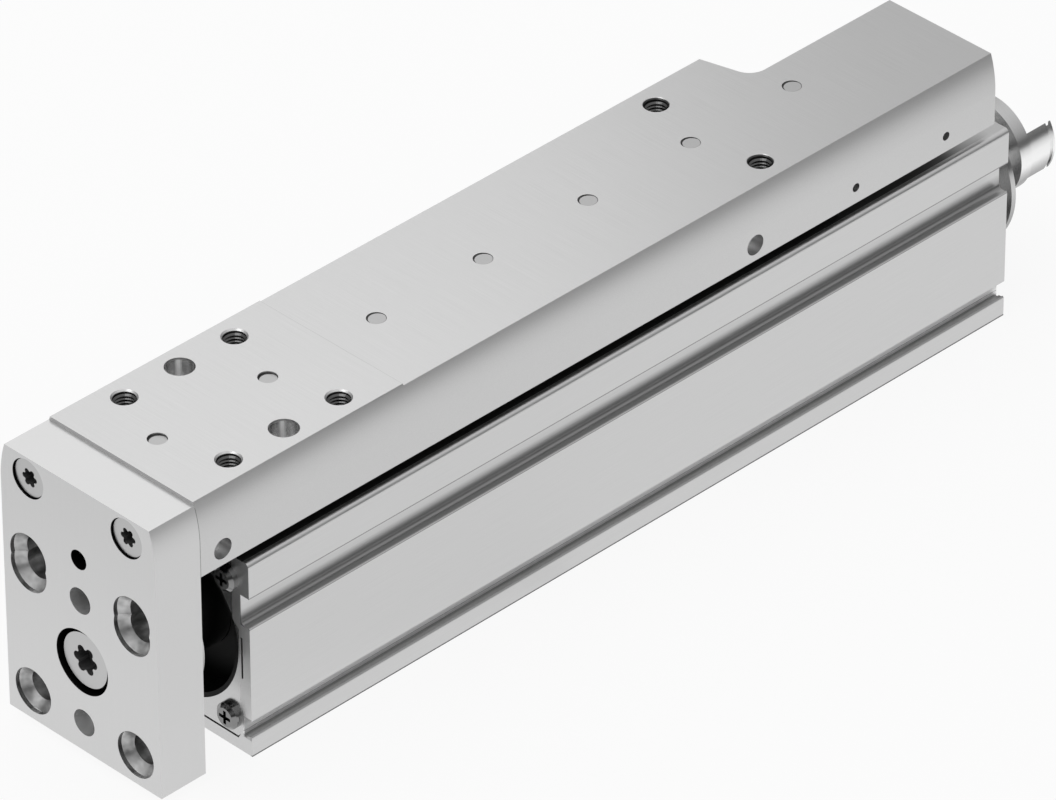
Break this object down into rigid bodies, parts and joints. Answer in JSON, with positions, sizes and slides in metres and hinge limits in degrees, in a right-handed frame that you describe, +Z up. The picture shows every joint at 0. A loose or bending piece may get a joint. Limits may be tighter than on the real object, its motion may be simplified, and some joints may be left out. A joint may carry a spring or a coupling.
{
  "type": "electric mini slide",
  "caption": "Spindle-driven mini slide: a table on a ball rail guide carries a drilled yoke plate out of an extruded housing, with a round coupling end for the motor.",
  "frame": {"origin": "middle of the housing's flat underside", "axes": "+X out of the yoke end along the travel, +Z up through the table, +Y to the side with the unbroken table edge; rest pose is retracted"},
  "size_m": [0.2722, 0.045, 0.0679],
  "materials": {
    "anodised_aluminium": "satin anodised, finely brushed along the slide",
    "guide_steel": "ground",
    "screw_steel": "bright zinc plated",
    "bearing_steel": "polished",
    "drive_steel": "ground",
    "guide_plastic": "moulded",
    "bearing_plastic": "moulded",
    "rubber": "matte",
    "magnet": "plastic bonded magnet"
  },
  "bodies": {
    "housing": {"housing_profile": "anodised_aluminium", "front_cover": "anodised_aluminium", "front_cover_screws": "screw_steel", "rear_cover_screws": "screw_steel", "rod_bush": "bearing_plastic", "rod_wiper": "rubber", "front_buffer": "rubber", "rear_buffer": "rubber", "guide_carriage_front": "guide_steel", "guide_carriage_rear": "guide_steel", "carriage_end_caps": "guide_plastic", "guide_balls": "bearing_steel", "carriage_screws": "screw_steel", "bearing_housing": "anodised_aluminium", "bearing_outer_rings": "bearing_steel", "bearing_balls": "bearing_steel", "bearing_clamp_ring": "drive_steel"},
    "spindle": {"spindle": "drive_steel", "spindle_lock_nut": "drive_steel", "spindle_support_ring": "bearing_plastic", "bearing_inner_rings": "bearing_steel"},
    "table": {"slide_table": "anodised_aluminium", "yoke_plate": "anodised_aluminium", "guide_rail": "guide_steel", "rail_screws": "screw_steel", "yoke_screws": "screw_steel", "rod_screw": "screw_steel", "yoke_dowels": "bearing_steel", "rod_flange": "drive_steel", "piston_rod": "drive_steel", "spindle_nut": "drive_steel", "magnet_ring": "magnet", "magnet_clip": "drive_steel"}
  },
  "joints": [
    {"name": "table_slide", "type": "slide", "parent": "housing", "child": "table", "axis": [1, 0, 0], "range_m": [0, 0.1]},
    {"name": "spindle_spin", "type": "hinge", "parent": "housing", "child": "spindle", "pos_m": [0, 0, 0.0246], "axis": [-1, 0, 0], "range_deg": [-10, 3610]}
  ],
  "couplings": [
    {"joint": "spindle_spin", "follows": "table_slide", "rad_per_m": 628.32}
  ]
}
